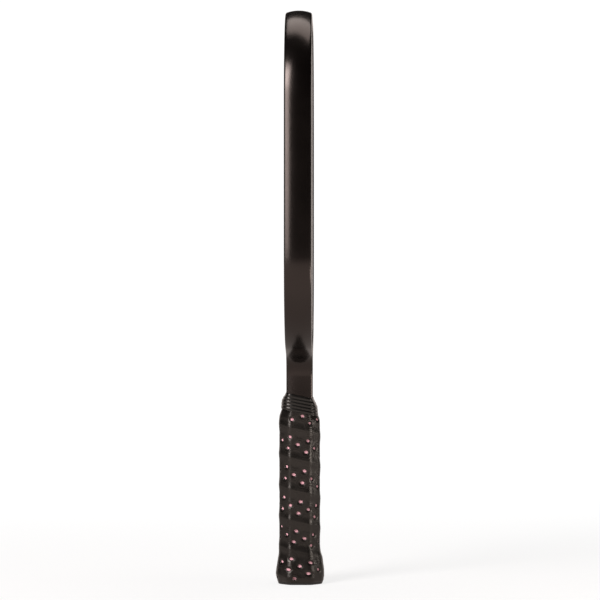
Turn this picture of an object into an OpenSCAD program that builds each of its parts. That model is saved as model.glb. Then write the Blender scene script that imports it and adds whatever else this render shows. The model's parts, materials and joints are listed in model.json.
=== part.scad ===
// Solid-faced court paddle: a honeycomb panel with two skins and an edge guard, and a bevelled
// handle with a butt cap, a spiral cushion grip and a ribbed rubber collar.
// X runs through the thickness, Y across the head and Z from the butt end to the top of the head.

/* [Head] */
// Length from the butt end to the top of the head
paddle_length = 403; // [395:1:410]
// Width of the head over the edge guard
head_width = 200; // [192:1:204]
// Radius of the top corners, over the guard
top_corner_r = 68; // [55:1:80]
// Radius of the lower corners, over the guard
low_corner_r = 66; // [60:1:70]
// Height where the straight sides end and the lower corners begin
low_corner_z = 230; // [228:1:238]
// Slope of the shoulders, in degrees below level
shoulder_slope = 12; // [8:1:16]
// Radius of the hollow throat between shoulder and neck
throat_r = 14; // [10:1:18]
// Width of the neck over the guard
neck_width = 30; // [29.5:0.5:31]

/* [Panel] */
// Thickness of the honeycomb core
core_t = 16; // [15:0.5:16]
// Thickness of each skin
skin_t = 0.5; // [0.4:0.1:0.6]
// Honeycomb cell size, across the flats
cell_size = 12; // [10:0.5:16]
// Thickness of the walls between cells
cell_wall = 0.6; // [0.5:0.1:1]
// Width of the tongue that the panel runs down into the handle
tongue_width = 19; // [17:0.2:19.2]

/* [Edge guard] */
// Thickness of the guard's lips
lip_t = 0.6; // [0.5:0.05:0.9]
// How far the lips reach in from the outermost edge
lip_reach = 8; // [6:0.5:9]
// Depth of the guard's web, at its crown
web_t = 2.2; // [2:0.1:2.6]
// Radius of the crown across the guard
crown_r = 30; // [28:1:40]
// Thickness of the bonding tape behind the web
bond_t = 0.5; // [0.3:0.1:0.6]

/* [Handle] */
// Thickness of the bare handle
handle_t = 24; // [24:0.2:24.4]
// Width of the bare handle
handle_w = 24.4; // [24.2:0.1:24.6]
// Size of the bevel on each corner of the bare handle
handle_bevel = 5.6; // [5:0.1:6]
// Thickness of the underlay around the handle
underlay_t = 0.4; // [0.3:0.1:0.4]
// Thickness of the cushion grip
grip_t = 1.8; // [1.6:0.1:1.8]
// Height of the butt cap
cap_h = 24; // [22:1:25]
// Radius of the blank plate in the butt cap's end
plate_r = 10; // [8:0.5:10.5]

/* [Collar] */
// Height of the collar's middle line above the butt end, at its top edge
collar_top_z = 133.6; // [133:0.1:134]
// Height of the collar
collar_h = 13.8; // [13:0.1:14]
// Tilt of the collar, in degrees
collar_tilt = 8; // [0:1:8]
// Gap between the collar and what it slides on
collar_gap = 0.3; // [0.25:0.05:0.4]

/* [Hidden] */
$fn = 96;
slack = 0.02;
big = 80;

head_half = head_width / 2;
neck_half = neck_width / 2;
panel_half = core_t / 2 + skin_t;
guard_half = panel_half + lip_t;
panel_inset = web_t + bond_t;
layers_t = underlay_t + grip_t;

// Points of the outline, in its own plane: across the head, then along the length
top_c = [head_half - top_corner_r, paddle_length - top_corner_r];
low_c = [head_half - low_corner_r, low_corner_z];
low_end = -(90 - shoulder_slope);
throat_start = 90 + shoulder_slope;
shoulder_out = polar(low_c, low_corner_r, low_end);
shoulder_in_x = neck_half + throat_r + throat_r * cos(throat_start);
shoulder_in_y = shoulder_out[1] - (shoulder_out[0] - shoulder_in_x) * tan(shoulder_slope);
throat_c = [neck_half + throat_r, shoulder_in_y - throat_r * sin(throat_start)];

// Levels along the handle
pallet_bottom = 4;
tongue_bottom = 27;
taper_start = 112;
handle_top = 126;
guard_bottom = 126.3;
grip_step = 117;
grip_bottom = 2.2;

// The bare handle's three facet distances from its axis, and how much thinner its top end is
facet_x = handle_t / 2;
facet_y = handle_w / 2;
facet_d = (facet_x + facet_y - handle_bevel) / sqrt(2);
taper_in = 2.9;

// Flare of the butt: height, then how far every facet stands out
FLARE = [[0, -0.4], [3, 1.75], [6, 2.6], [12, 2.15], [17, 1.15], [22, 0.4], [29, 0]];

spigot_inset = 1.4;
plate_recess = 1.2;

staple_z = 17;
staple_span = 8;
staple_leg = 6;
staple_wire = 0.6;
tack_z = 14;
tack_head_r = 2;
tack_shank_r = 0.5;
tack_shank = 4;

finish_t = 0.15;
finish_top = 131.6;
finish_bevel = 1.8;

function polar(c, r, a) = [c[0] + r * cos(a), c[1] + r * sin(a)];

// The guard's outermost line from the top's middle down the right side to the neck's end, as
// points with their outward normals. Round stretches are arcs of short chords.
function arc(c, r, from, to, steps, turn) =
    [for (i = [0:steps]) let (a = from + (to - from) * i / steps)
        [polar(c, r, a), turn * polar([0, 0], 1, a)]];
function right_side(bottom) = concat(
    arc(top_c, top_corner_r, 90, 0, 12, 1),
    arc(low_c, low_corner_r, 0, low_end, 10, 1),
    arc(throat_c, throat_r, throat_start, 180, 7, -1),
    [[[neck_half, bottom], [1, 0]]]);
function mirrored(side) = [for (i = [len(side) - 1:-1:0])
    [[-side[i][0][0], side[i][0][1]], [-side[i][1][0], side[i][1][1]]]];
function rim(bottom) = concat(mirrored(right_side(bottom)), right_side(bottom));

// Stands a flat outline up: across becomes Y, along becomes Z, and thickness becomes X
module upright() rotate([90, 0, 90]) children();

// A strip's outline, set in from the guard's outermost line, and cut off at the bottom
function inset_rim(inset, bottom) = [for (p = rim(bottom)) p[0] - inset * p[1]];

// A closed solid through rings of points, each ring with as many points as the others
module loft(rings) {
    n = len(rings[0]);
    last = len(rings) - 1;
    polyhedron(points = [for (ring = rings) for (p = ring) p],
        faces = concat([[for (i = [0:n - 1]) i]],
            [for (k = [0:last - 1]) for (i = [0:n - 1]) let (j = (i + 1) % n)
                [k * n + i, (k + 1) * n + i, (k + 1) * n + j, k * n + j]],
            [[for (i = [n - 1:-1:0]) last * n + i]]));
}

// The panel's outline with its tongue
module panel_outline() {
    tongue = tongue_width / 2;
    polygon(concat(inset_rim(panel_inset, handle_top),
        [[tongue, handle_top], [tongue, tongue_bottom],
            [-tongue, tongue_bottom], [-tongue, handle_top]]));
}

// Honeycomb cells that lie whole inside the panel
cell_r = (cell_size - cell_wall) / sqrt(3);
row_step = cell_size * sqrt(3) / 2;
margin = cell_size / 2 + 1.2;
function in_corner(x, y, c, r, low) =
    x > c[0] && (low ? y < c[1] : y > c[1]) ? norm([x, y] - c) < r : true;
function in_head(x, y) = let (ax = abs(x), m = panel_inset + margin)
    ax < head_half - m && y < paddle_length - m
    && in_corner(ax, y, top_c, top_corner_r - m, false)
    && in_corner(ax, y, low_c, low_corner_r - m, true)
    && y > shoulder_in_y + (ax - shoulder_in_x) * tan(shoulder_slope) + m;
module cells() {
    for (row = [0:1:ceil(paddle_length / row_step)])
        for (i = [-12:1:12])
            let (x = (i + (row % 2) / 2) * cell_size, y = row * row_step)
                if (in_head(x, y)) translate([x, y]) rotate(30) circle(r = cell_r, $fn = 6);
}

module core_panel() {
    color("gainsboro") upright() translate([0, 0, -core_t / 2]) linear_extrude(height = core_t)
        difference() {
            panel_outline();
            cells();
        }
}

module face_sheet(side) {
    color([0.09, 0.085, 0.08]) upright()
        translate([0, 0, side > 0 ? core_t / 2 : -core_t / 2 - skin_t])
            linear_extrude(height = skin_t) panel_outline();
}
module face_sheet_left() face_sheet(-1);
module face_sheet_right() face_sheet(1);

module edge_bond_tape() {
    color([0.85, 0.83, 0.78]) upright()
        translate([0, 0, -panel_half]) linear_extrude(height = 2 * panel_half) difference() {
            polygon(inset_rim(web_t, guard_bottom));
            polygon(inset_rim(panel_inset, guard_bottom - 1));
        }
}

// Half of the guard's section: outward, then across. The crown is an arc, the shoulder is eased.
crown_half = guard_half - 1.2;
crown_steps = 3;
function crown_sag(z) = crown_r - sqrt(crown_r * crown_r - z * z);
shoulder_sag = crown_sag(crown_half);
SECTION = concat(
    [for (i = [0:crown_steps]) let (z = crown_half * i / crown_steps) [-crown_sag(z), z]],
    [[-shoulder_sag - 0.35, guard_half - 0.45], [-shoulder_sag - 1.1, guard_half],
        [-lip_reach + 0.4, guard_half], [-lip_reach, guard_half - 0.4],
        [-lip_reach, panel_half], [-web_t, panel_half]]);
RING = concat(SECTION, [for (i = [len(SECTION) - 1:-1:1]) [SECTION[i][0], -SECTION[i][1]]]);

module edge_guard() {
    color([0.07, 0.06, 0.055]) upright()
        loft([for (p = rim(guard_bottom)) [for (q = RING)
            let (flat = p[0] + q[0] * p[1]) [flat[0], flat[1], q[1]]]]);
}

// A section of the handle at one height, from the distances of its flats and bevels from the axis
function section(x, y, d, z) = let (corner_x = d * sqrt(2) - y, corner_y = d * sqrt(2) - x)
    [[x, corner_y, z], [corner_x, y, z], [-corner_x, y, z], [-x, corner_y, z],
        [-x, -corner_y, z], [-corner_x, -y, z], [corner_x, -y, z], [x, -corner_y, z]];

// A section that stands out from the bare handle by "out", with the butt's flare
function flared(out, z) = let (e = out + lookup(z, FLARE))
    section(facet_x + e, facet_y + e, facet_d + e, z);

// Levels of a layer from "from" up to "to" at the butt end
function butt_rings(out, from, to) = concat([flared(out, from)],
    [for (f = FLARE) if (f[0] > from && f[0] < to) flared(out, f[0])], [flared(out, to)]);

// A layer's whole length: the flared butt, the straight handle and the tapered top end
function tapered_rings(out, from) = concat(butt_rings(out, from, FLARE[len(FLARE) - 1][0]),
    [section(facet_x + out, facet_y + out, facet_d + out, taper_start),
        section(facet_x + out - taper_in, facet_y + out, facet_d + out, handle_top)]);

// Stretches a stack of sections a little past its ends, to cut clean through
function overrun(rings) = let (last = len(rings) - 1) concat(
    [[for (p = rings[0]) p - [0, 0, 1]]], rings, [[for (p = rings[last]) p + [0, 0, 1]]]);

module bevelled_bar(half_x, half_y, bevel, from, to) {
    translate([0, 0, from]) linear_extrude(height = to - from)
        polygon([[half_x, half_y - bevel], [half_x - bevel, half_y], [bevel - half_x, half_y],
            [-half_x, half_y - bevel], [-half_x, bevel - half_y], [bevel - half_x, -half_y],
            [half_x - bevel, -half_y], [half_x, bevel - half_y]]);
}
module spigot(gap, from, to) {
    bevelled_bar(facet_x - spigot_inset + gap, facet_y - spigot_inset + gap,
        handle_bevel - 0.6, from, to);
}

// Two staples: a crown outside the cap, and two legs through it into the pallets
module staples(gap) {
    crown_x = facet_x + 1.15;
    for (side = [-1, 1]) for (y = [-1, 1])
        translate([side * (crown_x - staple_leg / 2), y * staple_span / 2, staple_z])
            cube([staple_leg, staple_wire + gap, staple_wire + gap], center = true);
}
module staple_crowns(gap) {
    for (side = [-1, 1])
        translate([side * (facet_x + 1.15 - staple_wire / 2), 0, staple_z])
            cube([staple_wire + gap, staple_span + staple_wire + gap, staple_wire + gap],
                center = true);
}

module tack(gap) {
    translate([0, facet_y + 1.6, tack_z]) rotate([90, 0, 0]) {
        cylinder(r = tack_head_r + gap, h = underlay_t + gap);
        cylinder(r = tack_shank_r + gap, h = tack_shank + gap);
    }
}

module handle_pallet(side) {
    color([0.72, 0.58, 0.4]) difference() {
        union() {
            loft([for (z = [cap_h, taper_start]) section(facet_x, facet_y, facet_d, z),
                section(facet_x - taper_in, facet_y, facet_d, handle_top)]);
            spigot(0, pallet_bottom, cap_h + 1);
        }
        translate([side > 0 ? -big : 0, -big / 2, -1]) cube([big, big, paddle_length]);
        translate([-panel_half - slack, -tongue_width / 2 - slack, tongue_bottom - slack])
            cube([2 * (panel_half + slack), tongue_width + 2 * slack, handle_top]);
        staples(slack);
        tack(slack);
    }
}
module handle_pallet_left() handle_pallet(-1);
module handle_pallet_right() handle_pallet(1);

module butt_cap() {
    color([0.06, 0.06, 0.06]) difference() {
        loft(concat([flared(layers_t, 0), flared(layers_t, grip_bottom)],
            butt_rings(0, grip_bottom, cap_h)));
        spigot(slack, pallet_bottom, cap_h + 1);
        translate([0, 0, -1]) cylinder(r = plate_r + slack, h = plate_recess + 1);
        staples(slack);
        staple_crowns(slack);
        tack(slack);
    }
}

module butt_end_plate() {
    color([0.05, 0.05, 0.05])
        translate([0, 0, 0.2]) cylinder(r = plate_r, h = plate_recess - 0.2);
}

module butt_staples() {
    color("silver") {
        staples(0);
        staple_crowns(0);
    }
}

module grip_tack() {
    color("silver") tack(0);
}

module grip_underlay() {
    color([0.78, 0.6, 0.63]) difference() {
        loft(tapered_rings(underlay_t, grip_bottom));
        loft(overrun(tapered_rings(0, grip_bottom)));
        tack(slack);
        staple_crowns(slack);
    }
}

// The grip is full size up to the collar, and pressed thin under it
function grip_rings() = let (full = layers_t) concat(
    butt_rings(full, grip_bottom, FLARE[len(FLARE) - 1][0]),
    [section(facet_x + full, facet_y + full, facet_d + full, taper_start),
        section(facet_x + full - 0.9, facet_y + full, facet_d + full - 0.2, grip_step),
        section(facet_x + 0.2, facet_y + full, facet_d + full - 0.7, grip_step + 0.4),
        section(facet_x + full - 0.9 - taper_in, facet_y + full, facet_d + full - 0.9, handle_top)]);
module grip_tape() {
    color([0.12, 0.11, 0.1]) difference() {
        loft(grip_rings());
        loft(overrun(tapered_rings(underlay_t, grip_bottom)));
    }
}

module finishing_tape() {
    inner_x = guard_half + slack;
    inner_y = neck_half + slack;
    color([0.08, 0.08, 0.08]) difference() {
        bevelled_bar(inner_x + finish_t, inner_y + finish_t, finish_bevel + 0.586 * finish_t,
            guard_bottom, finish_top);
        bevelled_bar(inner_x, inner_y, finish_bevel, guard_bottom - 1, finish_top + 1);
    }
}

// Stages of the collar: distance below its top, half thickness, half width, bevel, wall
bore_x = guard_half + slack + finish_t + collar_gap;
bore_y = neck_half + slack + finish_t + collar_gap;
COLLAR = [[0, bore_x + 0.6, bore_y + 0.5, 1.8, 0.5], [4, 11.3, bore_y + 0.7, 2.6, 0.7],
    [8, 12.3, bore_y + 0.7, 4, 0.8], [collar_h, 13.4, bore_y + 0.7, 5, 0.8]];

// One level of the collar, set in from its outside, in a plane that tilts with the collar
function collar_ring(stage, inset) =
    let (x = stage[1] - inset, y = stage[2] - inset,
        d = (stage[1] + stage[2] - stage[3]) / sqrt(2) - inset)
    [for (p = section(x, y, d, 0))
        [p[0], p[1], collar_top_z - stage[0] - p[0] * tan(collar_tilt)]];

// A closed sleeve through rings: up the outside, then down the inside
module sleeve(rings) {
    n = len(rings[0]);
    total = len(rings);
    polyhedron(points = [for (ring = rings) for (p = ring) p],
        faces = [for (k = [0:total - 1]) for (i = [0:n - 1])
            let (j = (i + 1) % n, next = (k + 1) % total)
            [k * n + i, next * n + i, next * n + j, k * n + j]]);
}
module grip_collar() {
    color([0.04, 0.04, 0.04]) sleeve(concat(
        [for (i = [len(COLLAR) - 1:-1:0]) collar_ring(COLLAR[i], 0)],
        [for (stage = COLLAR) collar_ring(stage, stage[4])]));
}

core_panel();
face_sheet_left();
face_sheet_right();
edge_bond_tape();
edge_guard();
handle_pallet_left();
handle_pallet_right();
butt_cap();
butt_end_plate();
butt_staples();
grip_underlay();
grip_tack();
grip_tape();
finishing_tape();
grip_collar();
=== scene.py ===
"""Looks of a court paddle seen edge-on: crowned edge guard, perforated spiral grip, ribbed collar.

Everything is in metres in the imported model's frame: X through the thickness, Y across the head,
Z from the butt end to the top of the head.
"""

import json
import math

import bpy
import numpy as np
from mathutils import Matrix, Vector


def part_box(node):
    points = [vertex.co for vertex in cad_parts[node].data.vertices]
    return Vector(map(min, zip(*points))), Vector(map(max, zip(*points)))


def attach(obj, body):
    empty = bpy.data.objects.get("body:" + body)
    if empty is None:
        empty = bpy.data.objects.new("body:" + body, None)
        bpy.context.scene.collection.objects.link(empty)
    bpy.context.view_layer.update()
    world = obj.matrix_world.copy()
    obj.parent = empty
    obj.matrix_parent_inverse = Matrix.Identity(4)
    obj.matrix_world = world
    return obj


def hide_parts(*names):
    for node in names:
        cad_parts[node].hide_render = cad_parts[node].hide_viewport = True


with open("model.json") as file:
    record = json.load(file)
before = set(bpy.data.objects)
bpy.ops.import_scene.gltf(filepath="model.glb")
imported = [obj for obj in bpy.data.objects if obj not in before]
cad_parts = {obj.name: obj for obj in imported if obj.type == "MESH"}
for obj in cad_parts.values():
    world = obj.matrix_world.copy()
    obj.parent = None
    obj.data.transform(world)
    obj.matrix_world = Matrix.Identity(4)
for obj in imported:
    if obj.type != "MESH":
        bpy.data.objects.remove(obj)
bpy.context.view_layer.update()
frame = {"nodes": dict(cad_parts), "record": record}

MM = 0.001

# ---------------------------------------------------------------- sizes, from the frame
guard_low, guard_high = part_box("edge_guard")
tape_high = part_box("grip_tape")[1]
cap_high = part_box("butt_cap")[1]
plate_low, plate_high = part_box("butt_end_plate")
panel_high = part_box("face_sheet_right")[1]
collar_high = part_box("grip_collar")[1]

HEAD_HALF = guard_high.y
HEAD_TOP = guard_high.z
GUARD_HALF = guard_high.x
GUARD_END = guard_low.z
PANEL_HALF = panel_high.x

# The head's outline, as in the CAD source
TOP_CORNER_R = 68 * MM
LOW_CORNER_R = 66 * MM
LOW_CORNER_Z = 230 * MM
SHOULDER_SLOPE = math.radians(12)
THROAT_R = 14 * MM
NECK_HALF = 15 * MM

# The wrapped handle: distances of its flats and bevels from the axis, and their soft corners
GRIP_X = 14.3 * MM
GRIP_Y = 14.4 * MM
GRIP_BEVEL = 15.34 * MM
GRIP_CORNER_R = 4.6 * MM
GRIP_TOP = tape_high.z - 0.5 * MM
GRIP_BOTTOM = 1.7 * MM
LAYERS = 2.2 * MM
TAPE = 1.15 * MM

# How far the collar's level drops for each metre towards the right face
COLLAR_TILT = 0.2


# ---------------------------------------------------------------- mesh helpers
def make_object(name, verts, faces, material, body, replaces=(), sharp=35):
    """A smooth-shaded mesh piece that rides on a body and stands for CAD nodes."""
    mesh = bpy.data.meshes.new(name)
    mesh.from_pydata([tuple(v) for v in verts], [], [tuple(f) for f in faces])
    mesh.validate()
    mesh.update()
    obj = bpy.data.objects.new(name, mesh)
    bpy.context.scene.collection.objects.link(obj)
    mesh.polygons.foreach_set("use_smooth", [True] * len(mesh.polygons))
    mesh.set_sharp_from_angle(angle=math.radians(sharp))
    mesh.materials.append(material)
    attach(obj, body)
    if replaces:
        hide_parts(*replaces)
    return obj


def ring_faces(rings, count, close=False):
    """Quads between rings of count points each, wrapping round; close joins the last to the first."""
    i = np.arange(count)
    j = (i + 1) % count
    faces = []
    for k in range(rings if close else rings - 1):
        a, b = k * count, ((k + 1) % rings) * count
        faces.append(np.stack([a + i, a + j, b + j, b + i], 1))
    return np.concatenate(faces)


def fan(ring_start, count, centre, flip=False):
    """Triangles from a ring to a centre point."""
    out = []
    for i in range(count):
        j = (i + 1) % count
        a, b = ring_start + i, ring_start + j
        out.append((b, a, centre) if flip else (a, b, centre))
    return out


# ---------------------------------------------------------------- node helpers
def new_material(name):
    """A node material, with its nodes, its links and its main shader."""
    material = bpy.data.materials.new(name)
    material.use_nodes = True
    nodes, links = material.node_tree.nodes, material.node_tree.links
    return material, nodes, links, nodes["Principled BSDF"]


def noise(nodes, links, scale, detail=4.0, rough=0.55, stretch=None):
    """A noise value over the object's own coordinates; scale is per metre."""
    coord = nodes.new("ShaderNodeTexCoord")
    tex = nodes.new("ShaderNodeTexNoise")
    tex.inputs["Scale"].default_value = scale
    tex.inputs["Detail"].default_value = detail
    tex.inputs["Roughness"].default_value = rough
    source = coord.outputs["Object"]
    if stretch:
        mapping = nodes.new("ShaderNodeMapping")
        mapping.inputs["Scale"].default_value = stretch
        links.new(source, mapping.inputs["Vector"])
        source = mapping.outputs["Vector"]
    links.new(source, tex.inputs["Vector"])
    return tex.outputs["Fac"]


def ramp(nodes, links, value, stops):
    """Colours or greys along a value: stops are (position, colour)."""
    node = nodes.new("ShaderNodeValToRGB")
    points = node.color_ramp.elements
    while len(points) < len(stops):
        points.new(0.5)
    for point, (at, colour) in zip(points, stops):
        point.position = at
        grey = (colour,) * 3 if isinstance(colour, (int, float)) else tuple(colour)
        point.color = (*grey, 1)
    links.new(value, node.inputs["Fac"])
    return node.outputs["Color"]


def math_node(nodes, links, operation, a, b):
    """The value of an operation on two sockets or numbers."""
    node = nodes.new("ShaderNodeMath")
    node.operation = operation
    for socket, value in zip(node.inputs, (a, b)):
        if isinstance(value, (int, float)):
            socket.default_value = value
        else:
            links.new(value, socket)
    return node.outputs["Value"]


def bump(nodes, links, shader, height, distance):
    """Raises the surface's shading by a height, times a distance in metres."""
    node = nodes.new("ShaderNodeBump")
    node.inputs["Distance"].default_value = distance
    node.inputs["Strength"].default_value = 1.0
    links.new(height, node.inputs["Height"])
    links.new(node.outputs["Normal"], shader.inputs["Normal"])


def moulded(name, dark, light, rough_low, rough_high, grain, depth, tint=(1, 1, 1)):
    """Moulded plastic or rubber: faint colour drift, uneven gloss and a fine grain."""
    material, nodes, links, shader = new_material(name)
    drift = noise(nodes, links, 60, 3)
    fine = noise(nodes, links, grain, 5, 0.6)
    mixed = math_node(nodes, links, "MULTIPLY", math_node(nodes, links, "ADD", drift, fine), 0.5)
    links.new(ramp(nodes, links, mixed, [(0.35, dark), (0.65, light)]), shader.inputs["Base Color"])
    links.new(ramp(nodes, links, mixed, [(0.35, rough_low), (0.65, rough_high)]),
              shader.inputs["Roughness"])
    shader.inputs["Specular Tint"].default_value = (*tint, 1)
    bump(nodes, links, shader, fine, depth)
    return material


# ---------------------------------------------------------------- materials
def face_material():
    """Satin composite skin: a fine twill under a gritty peel-ply surface."""
    material, nodes, links, shader = new_material("composite_skin")
    coord = nodes.new("ShaderNodeTexCoord")
    waves = []
    for axis in ("Y", "Z"):
        wave = nodes.new("ShaderNodeTexWave")
        wave.wave_type = "BANDS"
        wave.bands_direction = axis
        wave.inputs["Scale"].default_value = 105
        wave.inputs["Distortion"].default_value = 0.6
        wave.inputs["Detail"].default_value = 1
        links.new(coord.outputs["Object"], wave.inputs["Vector"])
        waves.append(wave.outputs["Fac"])
    weave = math_node(nodes, links, "ABSOLUTE",
                      math_node(nodes, links, "SUBTRACT", waves[0], waves[1]), 0)
    grit = noise(nodes, links, 2600, 3, 0.7)
    blotch = noise(nodes, links, 28, 3)
    tone = math_node(nodes, links, "ADD", math_node(nodes, links, "MULTIPLY", weave, 0.45),
                     math_node(nodes, links, "MULTIPLY", blotch, 0.5))
    dark, light = (0.008, 0.0076, 0.0072), (0.022, 0.0208, 0.0198)
    links.new(ramp(nodes, links, tone, [(0.2, dark), (0.8, light)]), shader.inputs["Base Color"])
    links.new(ramp(nodes, links, tone, [(0.2, 0.34), (0.8, 0.46)]), shader.inputs["Roughness"])
    height = math_node(nodes, links, "ADD", math_node(nodes, links, "MULTIPLY", weave, 0.5), grit)
    bump(nodes, links, shader, height, 0.000015)
    return material


def grip_material():
    """Soft polyurethane: fine leather-like pebble, slightly shiny where hands polish it."""
    material, nodes, links, shader = new_material("cushion_grip")
    pebble = nodes.new("ShaderNodeTexVoronoi")
    pebble.feature = "SMOOTH_F1"
    pebble.inputs["Scale"].default_value = 2600
    coord = nodes.new("ShaderNodeTexCoord")
    links.new(coord.outputs["Object"], pebble.inputs["Vector"])
    fine = noise(nodes, links, 5200, 3, 0.6)
    drift = noise(nodes, links, 90, 4)
    dark, light = (0.0048, 0.0041, 0.0036), (0.0082, 0.0071, 0.0062)
    links.new(ramp(nodes, links, drift, [(0.3, dark), (0.7, light)]), shader.inputs["Base Color"])
    links.new(ramp(nodes, links, drift, [(0.3, 0.25), (0.7, 0.33)]), shader.inputs["Roughness"])
    shader.inputs["Specular Tint"].default_value = (1, 0.92, 0.86, 1)
    height = math_node(nodes, links, "ADD", pebble.outputs["Distance"],
                       math_node(nodes, links, "MULTIPLY", fine, 0.35))
    bump(nodes, links, shader, height, 0.00004)
    return material


def felt_material():
    """Pink non-woven underlay."""
    material, nodes, links, shader = new_material("underlay_felt")
    fibres = noise(nodes, links, 2200, 6, 0.75)
    links.new(ramp(nodes, links, fibres, [(0.3, (0.93, 0.42, 0.50)), (0.7, (1.0, 0.62, 0.68))]),
              shader.inputs["Base Color"])
    links.new(ramp(nodes, links, fibres, [(0.3, 0.85), (0.7, 0.98)]), shader.inputs["Roughness"])
    shader.inputs["Sheen Weight"].default_value = 0.3
    bump(nodes, links, shader, fibres, 0.00008)
    return material


def wood_material():
    """Pale straight-grained handle wood."""
    material, nodes, links, shader = new_material("pallet_wood")
    coord = nodes.new("ShaderNodeTexCoord")
    wave = nodes.new("ShaderNodeTexWave")
    wave.bands_direction = "Y"
    wave.inputs["Scale"].default_value = 140
    wave.inputs["Distortion"].default_value = 5
    wave.inputs["Detail Scale"].default_value = 2
    links.new(coord.outputs["Object"], wave.inputs["Vector"])
    fibre = noise(nodes, links, 900, 5, 0.6, (1, 1, 0.06))
    tone = math_node(nodes, links, "ADD",
                     math_node(nodes, links, "MULTIPLY", wave.outputs["Fac"], 0.4),
                     math_node(nodes, links, "MULTIPLY", fibre, 0.6))
    links.new(ramp(nodes, links, tone, [(0.25, (0.42, 0.27, 0.14)), (0.75, (0.68, 0.50, 0.31))]),
              shader.inputs["Base Color"])
    links.new(ramp(nodes, links, tone, [(0.25, 0.75), (0.75, 0.6)]), shader.inputs["Roughness"])
    bump(nodes, links, shader, fibre, 0.00008)
    return material


def core_material():
    """Milky polymer honeycomb."""
    material, nodes, links, shader = new_material("core_polymer")
    cloud = noise(nodes, links, 220, 4)
    links.new(ramp(nodes, links, cloud, [(0.3, (0.66, 0.66, 0.62)), (0.7, (0.86, 0.86, 0.83))]),
              shader.inputs["Base Color"])
    links.new(ramp(nodes, links, cloud, [(0.3, 0.36), (0.7, 0.5)]), shader.inputs["Roughness"])
    bump(nodes, links, shader, cloud, 0.00005)
    return material


def tape_material():
    """Cream bonding tape with a fibrous face."""
    material, nodes, links, shader = new_material("bonding_tape")
    fibre = noise(nodes, links, 1400, 5, 0.7, (0.2, 1, 1))
    links.new(ramp(nodes, links, fibre, [(0.3, (0.52, 0.49, 0.42)), (0.7, (0.74, 0.71, 0.63))]),
              shader.inputs["Base Color"])
    links.new(ramp(nodes, links, fibre, [(0.3, 0.7), (0.7, 0.88)]), shader.inputs["Roughness"])
    bump(nodes, links, shader, fibre, 0.00003)
    return material


def steel_material():
    """Drawn wire and a pressed tack head."""
    material, nodes, links, shader = new_material("bright_steel")
    drawn = noise(nodes, links, 3000, 4, 0.6, (1, 0.05, 1))
    links.new(ramp(nodes, links, drawn, [(0.3, (0.52, 0.52, 0.53)), (0.7, (0.72, 0.72, 0.72))]),
              shader.inputs["Base Color"])
    links.new(ramp(nodes, links, drawn, [(0.3, 0.22), (0.7, 0.38)]), shader.inputs["Roughness"])
    shader.inputs["Metallic"].default_value = 1.0
    bump(nodes, links, shader, drawn, 0.00001)
    return material


MATERIALS = {
    "edge_guard": moulded("guard_plastic", (0.0016, 0.0012, 0.0011), (0.0024, 0.0018, 0.0016),
                          0.20, 0.24, 1500, 0.000006, tint=(1.0, 0.84, 0.78)),
    "face": face_material(),
    "grip": grip_material(),
    "underlay": felt_material(),
    "collar": moulded("collar_rubber", (0.0022, 0.0020, 0.0018), (0.0036, 0.0033, 0.0030),
                      0.27, 0.33, 1800, 0.000008, tint=(1.0, 0.95, 0.9)),
    "butt_cap": moulded("cap_plastic", (0.009, 0.009, 0.009), (0.014, 0.014, 0.014),
                        0.32, 0.44, 1600, 0.00002),
    "end_plate": moulded("plate_plastic", (0.008, 0.008, 0.009), (0.012, 0.012, 0.013),
                         0.16, 0.24, 900, 0.000006),
    "finishing_tape": moulded("finishing_vinyl", (0.008, 0.008, 0.008), (0.014, 0.014, 0.014),
                              0.3, 0.42, 1200, 0.00001),
    "honeycomb": core_material(),
    "bond_tape": tape_material(),
    "pallet": wood_material(),
    "steel": steel_material(),
}


def dress_cad_nodes():
    """Every CAD node that stays gets the procedural material of its slot."""
    for entry in frame["record"]["subparts"]:
        node = frame["nodes"][entry["node"]]
        node.data.materials.clear()
        node.data.materials.append(MATERIALS[entry["material_slot"]])


# ---------------------------------------------------------------- edge guard
def polar(centre, radius, angle):
    """The point of a circle in the direction of an angle."""
    return np.array([centre[0] + radius * math.cos(angle), centre[1] + radius * math.sin(angle)])


def arc_points(centre, radius, start, end, steps, turn):
    """Points with outward normals along an arc; turn is -1 where the arc is hollow."""
    angles = np.linspace(start, end, steps + 1)
    return [(polar(centre, radius, a), turn * polar((0, 0), 1, a)) for a in angles]


def guard_path():
    """The guard's outermost line as (point, normal) in the YZ plane, from one neck end to the other."""
    top_c = (HEAD_HALF - TOP_CORNER_R, HEAD_TOP - TOP_CORNER_R)
    low_c = (HEAD_HALF - LOW_CORNER_R, LOW_CORNER_Z)
    low_end = -(math.pi / 2 - SHOULDER_SLOPE)
    throat_start = math.pi / 2 + SHOULDER_SLOPE
    out = polar(low_c, LOW_CORNER_R, low_end)
    in_x = NECK_HALF + THROAT_R + THROAT_R * math.cos(throat_start)
    in_y = out[1] - (out[0] - in_x) * math.tan(SHOULDER_SLOPE)
    throat_c = (NECK_HALF + THROAT_R, in_y - THROAT_R * math.sin(throat_start))
    right = arc_points(top_c, TOP_CORNER_R, math.pi / 2, 0, 36, 1)
    right += arc_points(low_c, LOW_CORNER_R, 0, low_end, 26, 1)
    right += arc_points(throat_c, THROAT_R, throat_start, math.pi, 18, -1)
    right.append((np.array([NECK_HALF, GUARD_END]), np.array([1.0, 0.0])))
    dense = []
    for (p, n), (q, m) in zip(right, right[1:]):
        pieces = max(1, int(np.linalg.norm(q - p) / (8 * MM)))
        dense += [(p + (q - p) * k / pieces, n + (m - n) * k / pieces) for k in range(pieces)]
    dense.append(right[-1])
    left = [(p * (-1, 1), n * (-1, 1)) for p, n in reversed(dense)]
    return left + dense


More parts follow.
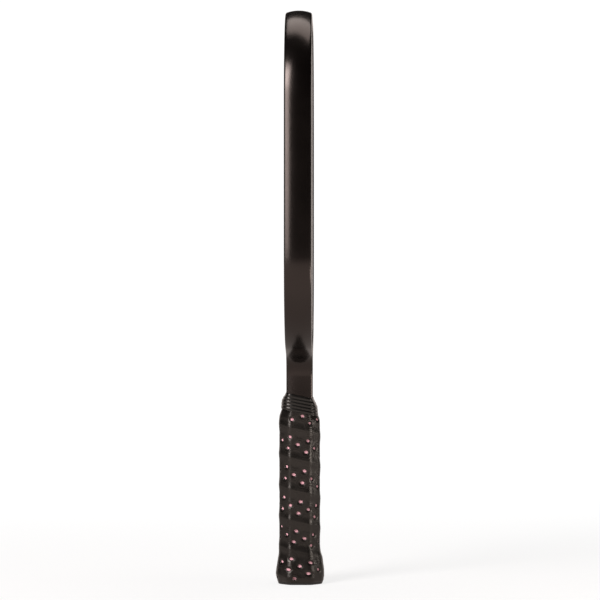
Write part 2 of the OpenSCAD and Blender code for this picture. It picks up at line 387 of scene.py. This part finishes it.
def guard_ring():
    """The guard's section as (outward, across): crowned web, eased shoulders, lips with round tips.
    It is a hair thicker than the CAD solid, and it stands just off the panel's faces."""
    crown_r, shoulder_r = 26 * MM, 1.6 * MM
    lip_reach, web, tip = 8 * MM, 2.2 * MM, 0.22 * MM
    lip_face = GUARD_HALF + 0.18 * MM
    inside = PANEL_HALF + 0.03 * MM
    crown_half = lip_face - shoulder_r * 0.72
    points = [(-(crown_r - math.sqrt(crown_r ** 2 - z * z)), z)
              for z in np.linspace(0, crown_half, 12)]
    start = math.asin(crown_half / crown_r)
    centre = (points[-1][0] - shoulder_r * math.cos(start), lip_face - shoulder_r)
    lift = points[-1][1] - (centre[1] + shoulder_r * math.sin(start))
    for k in range(1, 8):
        a = start + (math.pi / 2 - start) * k / 7
        points.append((centre[0] + shoulder_r * math.cos(a),
                       centre[1] + shoulder_r * math.sin(a) + lift * (1 - k / 7)))
    points.append((-lip_reach * 0.55, lip_face - 0.02 * MM))
    for k in range(6):
        a = math.pi / 2 * (1 + k / 5)
        points.append((-lip_reach + tip + tip * math.cos(a),
                       lip_face - 0.05 * MM - tip + tip * math.sin(a)))
    points += [(-lip_reach, inside), (-web, inside)]
    points = [tuple(p) for p in points]
    return points + [(r, -t) for r, t in reversed(points[1:])]


def make_guard():
    """The guard's section swept along its path, with flat ends at the neck's foot."""
    path, ring = guard_path(), guard_ring()
    count = len(ring)
    verts = []
    for p, n in path:
        for r, t in ring:
            flat = p + r * n
            verts.append((t, flat[0], flat[1]))
    faces = list(ring_faces(len(path), count))
    faces.append(tuple(range(count))[::-1])
    last = (len(path) - 1) * count
    faces.append(tuple(last + i for i in range(count)))
    return make_object("edge_guard_moulding", verts, faces, MATERIALS["edge_guard"], "paddle",
                       ["edge_guard"], sharp=40)


# ---------------------------------------------------------------- handle surface
def handle_curve():
    """The wrapped handle's section, counter-clockwise from the middle of the flat that faces -Y:
    the length along it of each point, the points and their normals."""
    half = [GRIP_X - GRIP_CORNER_R, GRIP_Y - GRIP_CORNER_R, GRIP_BEVEL - GRIP_CORNER_R]
    corner = half[2] * math.sqrt(2)
    inner = [(corner - half[1], -half[1]), (half[0], half[0] - corner), (half[0], corner - half[0]),
             (corner - half[1], half[1]), (half[1] - corner, half[1]), (-half[0], corner - half[0]),
             (-half[0], half[0] - corner), (half[1] - corner, -half[1])]
    points = [np.array([0.0, -GRIP_Y])]
    normals = [np.array([0.0, -1.0])]
    for k, vertex in enumerate(inner):
        for step in range(13):
            a = math.radians(-90 + 45 * k + 45 * step / 12)
            n = np.array([math.cos(a), math.sin(a)])
            points.append(np.array(vertex) + GRIP_CORNER_R * n)
            normals.append(n)
    points.append(points[0])
    normals.append(normals[0])
    points, normals = np.array(points), np.array(normals)
    along = np.concatenate([[0], np.cumsum(np.linalg.norm(np.diff(points, axis=0), axis=1))])
    return along, points, normals


CURVE = handle_curve()
PERIMETER = CURVE[0][-1]
# Height under which the butt's edge is eased
BUTT_EDGE = 5.2 * MM


def smooth(t):
    """A soft step from 0 to 1."""
    return t * t * (3 - 2 * t)


def falling(z, top, depth):
    """0 above a height, rising to 1 at a depth below it."""
    return np.clip((top - z) / depth, 0, 1)


def butt_flare(z):
    """How far the butt stands out from the straight handle at a height."""
    swell = 2.5 * MM * smooth(falling(z, 29 * MM, 21 * MM)) ** 1.2
    return swell - 1.2 * MM * falling(z, BUTT_EDGE, BUTT_EDGE) ** 1.1


def handle_surface(s, z, height):
    """Points on the handle: s round the section, z up it, height out from the wrapped surface."""
    along, points, normals = CURVE
    s = np.mod(s, PERIMETER)
    x = np.interp(s, along, points[:, 0])
    y = np.interp(s, along, points[:, 1])
    nx = np.interp(s, along, normals[:, 0])
    ny = np.interp(s, along, normals[:, 1])
    size = np.hypot(nx, ny)
    out = butt_flare(z) + height
    x, y = x + nx / size * out, y + ny / size * out
    # the flare leans a little to the right
    x = x + 0.5 * MM * falling(z, 25 * MM, 17 * MM)
    # the collar, which is tilted, presses the wrap in, and the handle gets thinner under it
    level = z + x * COLLAR_TILT * 0.6
    pressed = smooth(1 - falling(level, 122 * MM, 5.6 * MM))
    thinner = 1 - falling(level, 128 * MM, 7 * MM)
    return np.stack([x * (1 - 0.095 * pressed - 0.145 * thinner), y, z], -1)


# ---------------------------------------------------------------- spiral grip
TAPE_PITCH = 21.2 * MM
# Size of a hole's embossed cell, and a hole's radius across the tape and its stretch along it
CELL = 8.0 * MM
HOLE_R = 1.12 * MM
HOLE_STRETCH = 1.4
ROWS_APART = CELL / 2
# How far the holes move round the handle from one turn to the next
TURNS_SHIFT = 3.15 * MM
HOLES_A_TURN = 7
# A hole of the upper row, round the handle and up it
FIRST_HOLE = (3.63 * MM, 80.05 * MM)
# The first hole of the tape's level start, under the lowest turn, and how many there are
START_HOLE = (-4.0 * MM, 4.7 * MM)
START_HOLES = 4
# No hole has its centre above this height
LAST_HOLE = 120.2 * MM
SLOPE = math.atan2(TAPE_PITCH, PERIMETER)
IN_ROW = (PERIMETER - TURNS_SHIFT) / math.cos(SLOPE) / HOLES_A_TURN
BAND_HALF = TAPE_PITCH * math.cos(SLOPE) / 2
# Depth of a hole's floor, under the felt's surface, so that the felt closes the hole
HOLE_DEPTH = TAPE + 0.12 * MM


def tape_coordinates(s, z):
    """Along the tape, and across it from the middle of its band of holes, for a point on the handle."""
    # wound by hand: the turns open a little half way up and close towards the butt
    uneven = 1.09 * MM * np.sin(2 * math.pi * (z - 17.6 * MM) / (112 * MM))
    s0, z0 = FIRST_HOLE
    ds, dz = s - 0.38 * uneven - s0, z + uneven - z0
    along = ds * math.cos(SLOPE) - dz * math.sin(SLOPE)
    across = ds * math.sin(SLOPE) + dz * math.cos(SLOPE) + ROWS_APART
    turn = np.round(across / (2 * BAND_HALF))
    across = across - turn * 2 * BAND_HALF
    # one turn up the handle is one turn back along the tape
    along = along + turn * (2 * BAND_HALF * math.tan(SLOPE) - PERIMETER / math.cos(SLOPE))
    return along, across


def nearest_hole(along, across):
    """Offsets from the nearest hole's centre, along and across the tape."""
    best = None
    for row in (-1, 0, 1):
        shift = IN_ROW / 2 if row == 0 else 0.0
        da = along - shift
        da = da - IN_ROW * np.round(da / IN_ROW)
        dc = across - row * ROWS_APART
        d = np.hypot(da, dc)
        if best is None:
            best = (d, da, dc)
        else:
            closer = d < best[0]
            best = tuple(np.where(closer, new, old) for new, old in zip((d, da, dc), best))
    return best


def start_hole(s, z):
    """Offsets from the nearest hole of the tape's level start, along and across the tape."""
    back = np.mod(START_HOLE[0] - s + IN_ROW, PERIMETER) - IN_ROW
    which = np.clip(np.round(back / IN_ROW), 0, START_HOLES - 1)
    ds, dz = which * IN_ROW - back, z - START_HOLE[1]
    da, dc = ds * math.cos(SLOPE) - dz * math.sin(SLOPE), ds * math.sin(SLOPE) + dz * math.cos(SLOPE)
    return np.hypot(da, dc), da, dc


def rim_distance(da, dc):
    """Distance from a hole's centre, counted so that the oval rim lies at HOLE_R."""
    return np.hypot(da / HOLE_STRETCH, dc * 1.05)


def ridge(distance, height, width):
    """A soft ridge, or a groove where the height is negative."""
    return height * MM * np.exp(-(distance / (width * MM)) ** 2)


def grip_height(da, dc, across):
    """Height of the tape's skin: holes, their rolled rims, the embossed cells and the lapped edge."""
    rim = rim_distance(da, dc)
    cell = np.zeros_like(da)
    for k in range(3):
        a = math.radians(30 + 60 * k)
        cell = np.maximum(cell, np.abs(da * math.cos(a) + dc * math.sin(a)))
    height = ridge(np.maximum(rim - HOLE_R, 0), -0.13, 0.8)
    height = height + ridge(cell - CELL / 2, 0.08, 0.5) + ridge(cell - CELL / 2 + 1.3 * MM, 0.11, 0.35)
    # the tape is fuller where its turns lap, and its lower edge shows as a fine step and crease
    edge = np.where(across < 0, across + BAND_HALF, across - BAND_HALF)
    step = 1 / (1 + np.exp(-edge / (0.2 * MM))) - 0.5
    height = height + ridge(edge, 0.46, 3.1) + step * ridge(edge, 0.07, 2.5)
    height = height - ridge(edge + 0.3 * MM, 0.04, 0.35)
    return np.where(rim < HOLE_R - 0.04 * MM, -HOLE_DEPTH, height)


def make_grip():
    """The perforated tape as one sleeve: its skin up the outside, and a plain inside."""
    step = 0.37 * MM
    count = int(PERIMETER / step)
    rows = int((GRIP_TOP - GRIP_BOTTOM) / step)
    s = np.linspace(0, PERIMETER, count, endpoint=False)
    z = np.linspace(GRIP_BOTTOM, GRIP_TOP, rows)
    zz, ss = np.meshgrid(z, s, indexing="ij")
    along, across = tape_coordinates(ss, zz)
    spiral, start = nearest_hole(along, across), start_hole(ss, zz)
    d, da, dc = (np.where(start[0] < spiral[0], low, high) for low, high in zip(start, spiral))
    # no hole has its centre above the last one that the collar leaves open
    hidden = zz + da * math.sin(SLOPE) - dc * math.cos(SLOPE) > LAST_HOLE
    d, da, dc = (np.where(hidden, 1.0, value) for value in (d, da, dc))
    # points near a rim or the foot of a hole's wall move onto it, so that holes are smooth ovals
    for radius, low, high in ((HOLE_R, 0.0, 0.55 * step), (HOLE_R - 0.1 * MM, -0.85 * step, 0.0)):
        rim = rim_distance(da, dc)
        near = (rim - radius >= low) & (rim - radius < high) & (d > 0.3 * MM)
        scale = np.where(near, radius / np.maximum(rim, 1e-9), 1.0)
        da_move, dc_move = da * (scale - 1), dc * (scale - 1)
        ss = ss + da_move * math.cos(SLOPE) + dc_move * math.sin(SLOPE)
        zz = zz - da_move * math.sin(SLOPE) + dc_move * math.cos(SLOPE)
        da, dc = da + da_move, dc + dc_move
    zz = np.clip(zz, GRIP_BOTTOM, GRIP_TOP)
    # the texture fades out at both ends of the sleeve
    fade = np.clip((zz - GRIP_BOTTOM) / (1.2 * MM), 0, 1) * np.clip((GRIP_TOP - zz) / MM, 0, 1)
    outer = handle_surface(ss, zz, grip_height(da, dc, across) * fade).reshape(-1, 3)
    inner_z = np.linspace(GRIP_TOP, GRIP_BOTTOM, 24)
    inner = [handle_surface(s, np.full(count, level), np.full(count, -TAPE - 0.16 * MM))
             for level in inner_z]
    verts = np.concatenate([outer, np.concatenate(inner)])
    faces = ring_faces(rows + len(inner_z), count, close=True)
    return make_object("grip_spiral_wrap", verts, faces, MATERIALS["grip"], "paddle",
                       ["grip_tape"], sharp=180)


def make_underlay():
    """The felt between the handle and the tape, seen through the holes."""
    count, levels = 180, 90
    s = np.linspace(0, PERIMETER, count, endpoint=False)
    z = np.linspace(GRIP_BOTTOM + 0.3 * MM, GRIP_TOP, levels)
    outer = [handle_surface(s, np.full(count, h), np.full(count, -TAPE)) for h in z]
    inner = [handle_surface(s, np.full(count, h), np.full(count, -LAYERS + 0.02 * MM)) for h in z[::-1]]
    verts = np.concatenate(outer + inner)
    faces = ring_faces(2 * levels, count, close=True)
    return make_object("grip_underlay_felt", verts, faces, MATERIALS["underlay"], "paddle",
                       ["grip_underlay"], sharp=60)


# ---------------------------------------------------------------- butt cap
def circle_like(ring, radius, z):
    """A circle with one point in the direction of each point of a ring."""
    flat = ring[:, :2]
    unit = flat / np.linalg.norm(flat, axis=1)[:, None]
    return np.concatenate([unit * radius, np.full((len(ring), 1), z)], 1)


def make_butt_cap():
    """The cap: a spigot inside the handle, a skirt under the wrap, and an eased rim round a recess."""
    count = 160
    s = np.linspace(0, PERIMETER, count, endpoint=False)

    def ring(z, height):
        return handle_surface(s, np.full(count, z), np.full(count, height))

    # the spigot has the straight handle's section, which is the same at any height above the flare
    spigot = ring(60 * MM, -LAYERS - 1.42 * MM) * (1, 1, 0)
    floor = np.array([0, 0, 4 * MM])
    skirt = -LAYERS - 0.02 * MM
    recess_r = plate_high.x + 0.15 * MM
    rings = [spigot + floor, spigot + (0, 0, cap_high.z)]
    rings += [ring(z, skirt) for z in np.linspace(cap_high.z - 0.1 * MM, 3.2 * MM, 22)]
    rings.append(ring(1.62 * MM, skirt))
    rings += [ring(z, h * MM) for z, h in
              ((1.6 * MM, -0.35), (1.5 * MM, -0.12), (1.0 * MM, -0.1), (0.6 * MM, -0.14),
               (0.3 * MM, -0.24), (0.12 * MM, -0.42), (0.03 * MM, -0.7), (0.0, -1.05))]
    edge = rings[-1]
    for t in (0.35, 0.7):
        circle = circle_like(edge, recess_r + 0.3 * MM, 0.0)
        rings.append(edge * (1 - t) + circle * t)
    rings.append(circle_like(edge, recess_r + 0.3 * MM, 0.0))
    rings.append(circle_like(edge, recess_r + 0.08 * MM, 0.06 * MM))
    rings.append(circle_like(edge, recess_r, 0.25 * MM))
    rings.append(circle_like(edge, recess_r, plate_high.z))
    total = len(rings)
    verts = np.concatenate(rings + [np.array([floor, [0, 0, plate_high.z]])])
    faces = [tuple(f)[::-1] for f in ring_faces(total, count)]
    faces += fan(0, count, total * count, flip=False)
    faces += fan((total - 1) * count, count, total * count + 1, flip=True)
    return make_object("butt_cap_moulding", verts, faces, MATERIALS["butt_cap"], "paddle",
                       ["butt_cap"], sharp=40)


def make_end_plate():
    """A blank plate: a shallow dish with one raised ring round a plain centre."""
    count = 128
    radius = plate_high.x
    face = plate_low.z
    profile = [(0.0, 0.10), (3.0, 0.09), (5.6, 0.05), (6.0, 0.0), (6.5, -0.04), (7.0, 0.0), (7.4, 0.05),
               (8.8, 0.05), (9.5, 0.02), (9.85, 0.12), (radius / MM, 0.32)]
    a = np.linspace(0, 2 * math.pi, count, endpoint=False)
    rings = []
    for r, lift in profile[1:]:
        rings.append(np.stack([r * MM * np.cos(a), r * MM * np.sin(a),
                               np.full(count, face + lift * MM)], 1))
    rings.append(np.stack([radius * np.cos(a), radius * np.sin(a), np.full(count, plate_high.z)], 1))
    total = len(rings)
    centres = np.array([[0, 0, face + profile[0][1] * MM], [0, 0, plate_high.z]])
    verts = np.concatenate(rings + [centres])
    faces = [tuple(f)[::-1] for f in ring_faces(total, count)]
    faces += fan(0, count, total * count, flip=True)
    faces += fan((total - 1) * count, count, total * count + 1, flip=False)
    return make_object("butt_plate_blank", verts, faces, MATERIALS["end_plate"], "paddle",
                       ["butt_end_plate"], sharp=40)


# ---------------------------------------------------------------- collar
COLLAR_TOP = collar_high.z - 1.4 * MM
COLLAR_H = 11.9 * MM
COLLAR_WALL = 0.9 * MM
COLLAR_LIP_WALL = 0.3 * MM
# Heights of the plain lip and of each rib
LIP = 2.5 * MM
RIB = 2.3 * MM
# Distance below the top edge, half thickness and half width in mm, and squareness of the section
COLLAR_SHAPE = ((0.0, 9.6, 15.9, 6.2), (1.4, 10.0, 16.0, 5.8), (3.0, 11.1, 16.0, 5.0),
                (5.3, 12.3, 16.0, 4.2), (7.0, 12.7, 16.0, 3.9), (9.0, 12.85, 16.0, 3.8),
                (11.9, 13.1, 16.0, 3.7))


def squared_round(half_x, half_y, power, count):
    """An oval that a higher power makes squarer, as its x and y."""
    a = np.linspace(0, 2 * math.pi, count, endpoint=False)
    c, s = np.cos(a), np.sin(a)
    return (np.sign(c) * np.abs(c) ** (2 / power) * half_x,
            np.sign(s) * np.abs(s) ** (2 / power) * half_y)


def collar_section(below, out, count):
    """A section of the collar, tilted with it, at a distance below its top edge."""
    table = np.array(COLLAR_SHAPE)
    half_x, half_y, power = (np.interp(below / MM, table[:, 0], table[:, k]) for k in (1, 2, 3))
    x, y = squared_round(half_x * MM + out, half_y * MM + out, power, count)
    return np.stack([x, y, COLLAR_TOP - below - x * COLLAR_TILT], 1)


def collar_bulge(below):
    """Height of the ribs: a rounded lip at the top, then low soft ribs."""
    if below < LIP:
        return 0.24 * MM * math.sqrt(max(0.0, 1 - (2 * below / LIP - 1) ** 2))
    return 0.1 * MM * (1 - math.cos(2 * math.pi * (below - LIP) / RIB))


def make_collar():
    """The ribbed outside, a rounded lower edge, and a plain inside with a thin top lip."""
    count, steps = 200, 110
    rings = [collar_section(b, collar_bulge(b), count) for b in np.linspace(0, COLLAR_H, steps)]
    for below, out in ((COLLAR_H + 0.05 * MM, -0.25 * MM), (COLLAR_H, -0.6 * MM)):
        rings.append(collar_section(below, out, count))
    for below in np.linspace(COLLAR_H - 0.3 * MM, 0.25 * MM, 16):
        wall = COLLAR_LIP_WALL + (COLLAR_WALL - COLLAR_LIP_WALL) * min(1.0, below / (5 * MM))
        rings.append(collar_section(below, -wall, count))
    verts = np.concatenate(rings)
    faces = [tuple(f)[::-1] for f in ring_faces(len(rings), count, close=True)]
    return make_object("collar_ribbed", verts, faces, MATERIALS["collar"], "collar",
                       ["grip_collar"], sharp=50)


# ---------------------------------------------------------------- finishing tape
def make_finishing_tape():
    """A thin vinyl band round the neck; its cut corner shows just above the collar."""
    count = 160
    bottom, middle, top = 127.5 * MM, 130 * MM, 133.6 * MM

    def ring(z, out):
        x, y = squared_round(GUARD_HALF + out, NECK_HALF + out, 9, count)
        corner = np.where(y < 0, 0.9 * MM * np.exp(-((x + 2.0 * MM) / (1.4 * MM)) ** 4), 0)
        rise = corner if z > middle else 0
        return np.stack([x, y, z - x * COLLAR_TILT + rise], 1)

    levels = np.linspace(bottom, top, 6)
    rings = [ring(z, 0.12 * MM) for z in levels] + [ring(z, 0.02 * MM) for z in levels[::-1]]
    verts = np.concatenate(rings)
    faces = ring_faces(len(rings), count, close=True)
    return make_object("finishing_tape_band", verts, faces, MATERIALS["finishing_tape"], "paddle",
                       ["finishing_tape"], sharp=40)


# ---------------------------------------------------------------- studio
def sweep_material():
    """White to the eye. In reflections it has levels of its own along Y: dim far in front, bright
    in front, dimmer by the paddle and behind it, and bright again up the back wall.
    Those levels are painted light: a warm glow that every ray but the camera's sees, lighting the
    paddle and showing in its reflections as a lamp would."""
    material = bpy.data.materials.new("sweep_white")
    material.use_nodes = True
    nodes, links = material.node_tree.nodes, material.node_tree.links
    nodes.clear()
    depth = nodes.new("ShaderNodeSeparateXYZ")
    links.new(nodes.new("ShaderNodeTexCoord").outputs["Object"], depth.inputs["Vector"])
    # positions on the ramps run from 4 m in front of the paddle, at 0, to 4 m behind it, at 1
    span = nodes.new("ShaderNodeMapRange")
    span.inputs["From Min"].default_value = -4.0
    span.inputs["From Max"].default_value = 4.0
    links.new(depth.outputs["Y"], span.inputs["Value"])
    along = span.outputs["Result"]

    seen = nodes.new("ShaderNodeMixShader")
    matte = nodes.new("ShaderNodeBsdfDiffuse")
    matte.inputs["Color"].default_value = (0.93, 0.93, 0.93, 1)
    glow = nodes.new("ShaderNodeEmission")
    glow.inputs["Strength"].default_value = 1.05
    links.new(ramp(nodes, links, along, [(0.5, 0.75), (0.6, 1.0)]), seen.inputs["Fac"])
    links.new(matte.outputs["BSDF"], seen.inputs[1])
    links.new(glow.outputs["Emission"], seen.inputs[2])

    # painted light: a warm emission, unseen by the camera, that lights the paddle and shows in its
    # reflections
    mirrored_glow = nodes.new("ShaderNodeEmission")
    levels = [(0.0, 0.15), (0.18, 0.98), (0.46, 0.98), (0.52, 0.42), (0.65, 0.28), (0.73, 0.95)]
    warm = [(at, (level, level * 0.88, level * 0.82)) for at, level in levels]
    links.new(ramp(nodes, links, along, warm), mirrored_glow.inputs["Color"])
    paths = nodes.new("ShaderNodeLightPath")
    pick = nodes.new("ShaderNodeMixShader")
    links.new(paths.outputs["Is Camera Ray"], pick.inputs["Fac"])
    links.new(mirrored_glow.outputs["Emission"], pick.inputs[1])
    links.new(seen.outputs["Shader"], pick.inputs[2])
    out = nodes.new("ShaderNodeOutputMaterial")
    links.new(pick.outputs["Shader"], out.inputs["Surface"])
    return material


def make_stage():
    """A white sweep: floor, a round bend and a back wall, all one sheet."""
    bend, back, front, wide, tall = 0.8, 2.6, -6.0, 5.0, 1.1
    line = [(front, 0.0), (0.0, 0.0), (back - bend, 0.0)]
    line += [(back - bend + bend * math.sin(a), bend - bend * math.cos(a))
             for a in np.linspace(0.05, math.pi / 2, 24)]
    line.append((back, tall))
    verts = [(x, y, z) for y, z in line for x in (-wide, wide)]
    faces = [(2 * k, 2 * k + 1, 2 * k + 3, 2 * k + 2) for k in range(len(line) - 1)]
    mesh = bpy.data.meshes.new("sweep")
    mesh.from_pydata(verts, [], faces)
    mesh.polygons.foreach_set("use_smooth", [True] * len(mesh.polygons))
    mesh.materials.append(sweep_material())
    obj = bpy.data.objects.new("sweep", mesh)
    bpy.context.scene.collection.objects.link(obj)


def add_softbox(name, place, target, size, radiance, colour=(1, 1, 1)):
    """A rectangular light of a given brightness that faces a point."""
    light = bpy.data.lights.new(name, "AREA")
    light.shape = "RECTANGLE"
    light.size, light.size_y = size
    light.energy = radiance * math.pi * size[0] * size[1]
    light.color = colour
    obj = bpy.data.objects.new(name, light)
    bpy.context.scene.collection.objects.link(obj)
    obj.location = place
    obj.rotation_euler = (Vector(target) - Vector(place)).to_track_quat("-Z", "Y").to_euler()
    return obj


def make_lights():
    """Softboxes over, left and low on the right, in a room that is nearly dark to mirrors."""
    world = bpy.data.worlds.new("studio")
    world.use_nodes = True
    nodes, links = world.node_tree.nodes, world.node_tree.links
    paths = nodes.new("ShaderNodeLightPath")
    # white where the camera sees it, and nearly dark where the paddle mirrors it
    level = math_node(nodes, links, "MAXIMUM", paths.outputs["Is Camera Ray"], 0.012)
    links.new(level, nodes["Background"].inputs["Strength"])
    nodes["Background"].inputs["Color"].default_value = (1, 1, 1, 1)
    bpy.context.scene.world = world
    add_softbox("top_box", (0.12, 0.40, 1.75), (0, 0, 0.39), (1.3, 0.9), 2.6, (1, 0.9, 0.85))
    add_softbox("left_box", (-0.84, -1.08, 0.98), (0, 0, 0.98), (0.6, 1.42), 9, (1, 0.95, 0.94))
    add_softbox("left_hot", (-0.58, -0.74, 0.84), (0, 0, 0.36), (0.34, 0.34), 8, (1, 0.96, 0.96))
    add_softbox("right_box", (0.46, -0.20, 0.115), (0, 0, 0.115), (0.28, 0.08), 9, (1, 0.94, 0.88))


def make_camera():
    """Level with the middle of the paddle and edge-on, a touch to the right face's side."""
    camera = bpy.data.cameras.new("camera")
    camera.sensor_width = 36
    camera.lens = 146
    camera.clip_end = 50
    obj = bpy.data.objects.new("camera", camera)
    bpy.context.scene.collection.objects.link(obj)
    place = Vector((0.026, -1.732, 0.2012))
    target = Vector((0.0002, 0.0, 0.2012))
    turn = (target - place).to_track_quat("-Z", "Y").to_matrix().to_4x4()
    obj.matrix_world = Matrix.Translation(place) @ turn
    bpy.context.scene.camera = obj


# ---------------------------------------------------------------- build
dress_cad_nodes()
make_guard()
make_grip()
make_underlay()
make_butt_cap()
make_end_plate()
make_collar()
make_finishing_tape()
make_stage()
make_lights()
make_camera()
bpy.context.scene.view_settings.view_transform = "Standard"
